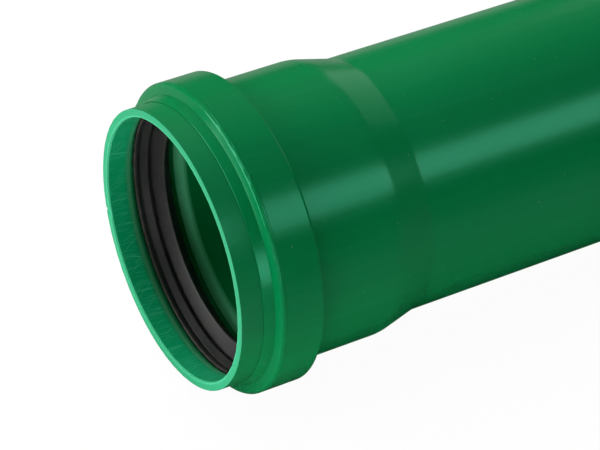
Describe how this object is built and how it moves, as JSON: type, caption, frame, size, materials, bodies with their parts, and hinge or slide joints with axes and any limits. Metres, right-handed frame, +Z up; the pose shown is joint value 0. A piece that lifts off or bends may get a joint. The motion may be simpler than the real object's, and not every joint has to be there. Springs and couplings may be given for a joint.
{
  "type": "sewer pipe",
  "caption": "Socketed plastic sewer pipe: plain chamfered spigot at one end, formed push-fit socket with lip seal and support collar at the other",
  "frame": {"origin": "on the floor under the middle of the pipe's length, at the bottom centre of the bounding box", "axes": "+Z up; the pipe runs along Y with its socket mouth toward -Y and its spigot toward +Y, the axis dipping about 1.2 degrees to the spigot because the collar holds the socket end off the floor; +X is to the right of someone who looks along +Y"},
  "size_m": [0.132, 0.5756, 0.1323],
  "materials": {
    "pipe_plastic": "semi-gloss extruded polypropylene, sawn matte mouth face",
    "collar_plastic": "semi-gloss moulded polypropylene",
    "seal_rubber": "satin moulded rubber"
  },
  "bodies": {
    "root": {"pipe": "pipe_plastic", "collar_ring": "collar_plastic", "lip_seal": "seal_rubber"}
  },
  "joints": []
}
